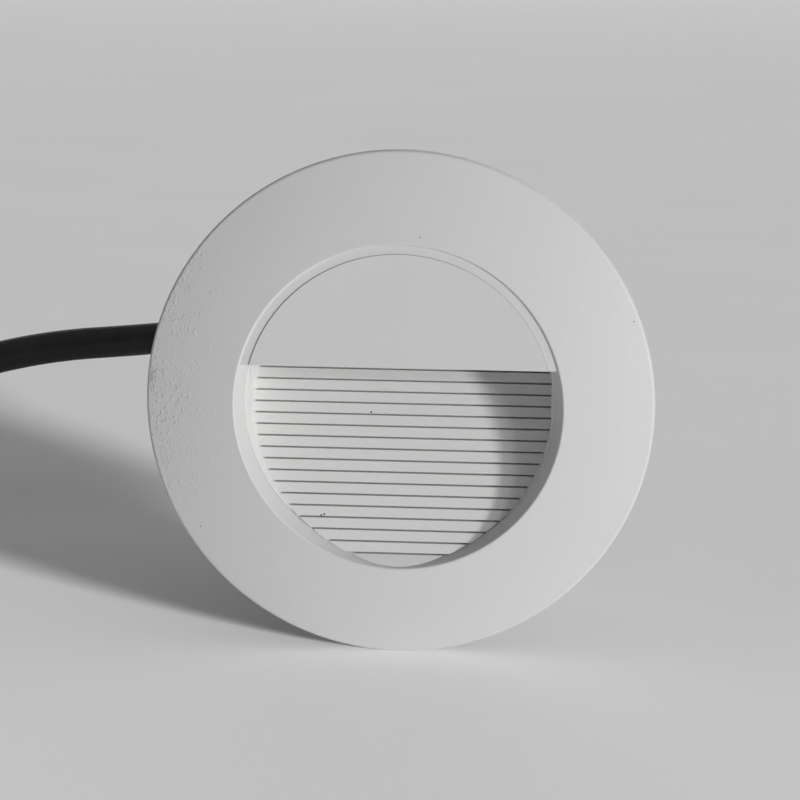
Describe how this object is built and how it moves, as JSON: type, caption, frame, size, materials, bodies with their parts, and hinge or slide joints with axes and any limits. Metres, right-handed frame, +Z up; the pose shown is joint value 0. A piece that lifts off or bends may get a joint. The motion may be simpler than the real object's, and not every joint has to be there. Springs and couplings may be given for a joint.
{
  "type": "recessed step light",
  "caption": "Round recessed step light: a white cone ring around an eyelid hood over a sloping stepped reflector, with spring clips behind, a rear cable gland and a rubber lead.",
  "frame": {"origin": "on the light's axis, in the plane of the wall's face, which is the ring's back face", "axes": "+Y along the light's axis into the wall, the front faces -Y, +Z up, +X to the right as seen from the front"},
  "size_m": [0.2006, 0.1594, 0.085],
  "materials": {
    "white_powder_coat": "white powder coat with a fine orange peel",
    "white_moulding": "white UV-stable polycarbonate, matt",
    "cast_aluminium": "grey die-cast aluminium, lightly tumbled",
    "black_foam": "closed-cell EPDM foam",
    "white_silicone": "silicone sheet",
    "black_rubber": "matt black rubber",
    "frosted_window": "frosted polycarbonate",
    "white_board": "white solder resist on an aluminium board",
    "led_phosphor": "yellow phosphor in a white package",
    "green_board": "green solder resist on glass epoxy",
    "ferrite": "sintered ferrite",
    "winding_tape": "yellow polyester tape over enamelled wire",
    "capacitor_sleeve": "dark PVC sleeve",
    "black_moulding": "black moulded parts",
    "green_moulding": "green polyamide terminal body",
    "zinc_steel": "zinc-plated steel",
    "stainless": "stainless spring steel",
    "tinned_brass": "tinned brass",
    "black_polyamide": "black polyamide",
    "red_wire": "silicone-insulated wire",
    "core_brown": "brown insulated core",
    "core_blue": "blue insulated core",
    "core_earth": "green and yellow insulated core",
    "white_ferrule": "white-collared crimp ferrule"
  },
  "bodies": {
    "light": {"bezel_ring": "white_powder_coat", "wall_gasket": "black_foam", "hood_insert": "white_moulding", "stepped_reflector": "white_moulding", "front_gasket": "white_silicone", "housing": "cast_aluminium", "neck_o_ring": "black_rubber", "light_window": "frosted_window", "window_gasket": "white_silicone", "led_board": "white_board", "led_packages": "led_phosphor", "led_board_screws": "zinc_steel", "led_wires": "red_wire", "driver_board": "green_board", "driver_screws": "zinc_steel", "transformer_core": "ferrite", "transformer_winding": "winding_tape", "driver_capacitors": "capacitor_sleeve", "driver_choke": "ferrite", "driver_small_parts": "black_moulding", "terminal_block": "green_moulding", "terminal_screws": "zinc_steel", "earth_tag": "tinned_brass", "earth_screw": "zinc_steel", "gland_body": "black_polyamide", "gland_washer": "black_rubber", "gland_locknut": "black_polyamide", "gland_seal": "black_rubber", "gland_cap": "black_polyamide", "lead_in_gland": "black_rubber", "supply_lead": "black_rubber", "lead_coil": "black_rubber", "core_ferrules": "white_ferrule", "bracket_screws": "zinc_steel", "inner_core_brown": "core_brown", "core_brown": "core_brown", "inner_core_blue": "core_blue", "core_blue": "core_blue", "inner_core_earth": "core_earth", "core_earth": "core_earth", "clip_bracket_right": "zinc_steel", "clip_pin_right": "zinc_steel", "clip_spring_right": "stainless", "clip_bracket_left": "zinc_steel", "clip_pin_left": "zinc_steel", "clip_spring_left": "stainless"},
    "clip_right": {"clip_arm_right": "stainless", "clip_sleeve_right": "black_rubber"},
    "clip_left": {"clip_arm_left": "stainless", "clip_sleeve_left": "black_rubber"}
  },
  "joints": [
    {"name": "clip_right_turn", "type": "hinge", "parent": "light", "child": "clip_right", "pos_m": [0.0317, 0.022, 0], "axis": [0, 0, 1], "range_deg": [0, 156], "stiffness_Nm_per_rad": 0.018, "springref_deg": -20.05, "deforming": ["clip_spring_right"]},
    {"name": "clip_left_turn", "type": "hinge", "parent": "light", "child": "clip_left", "pos_m": [-0.0317, 0.022, 0], "axis": [0, 0, -1], "range_deg": [0, 156], "stiffness_Nm_per_rad": 0.018, "springref_deg": -20.05, "deforming": ["clip_spring_left"]}
  ]
}
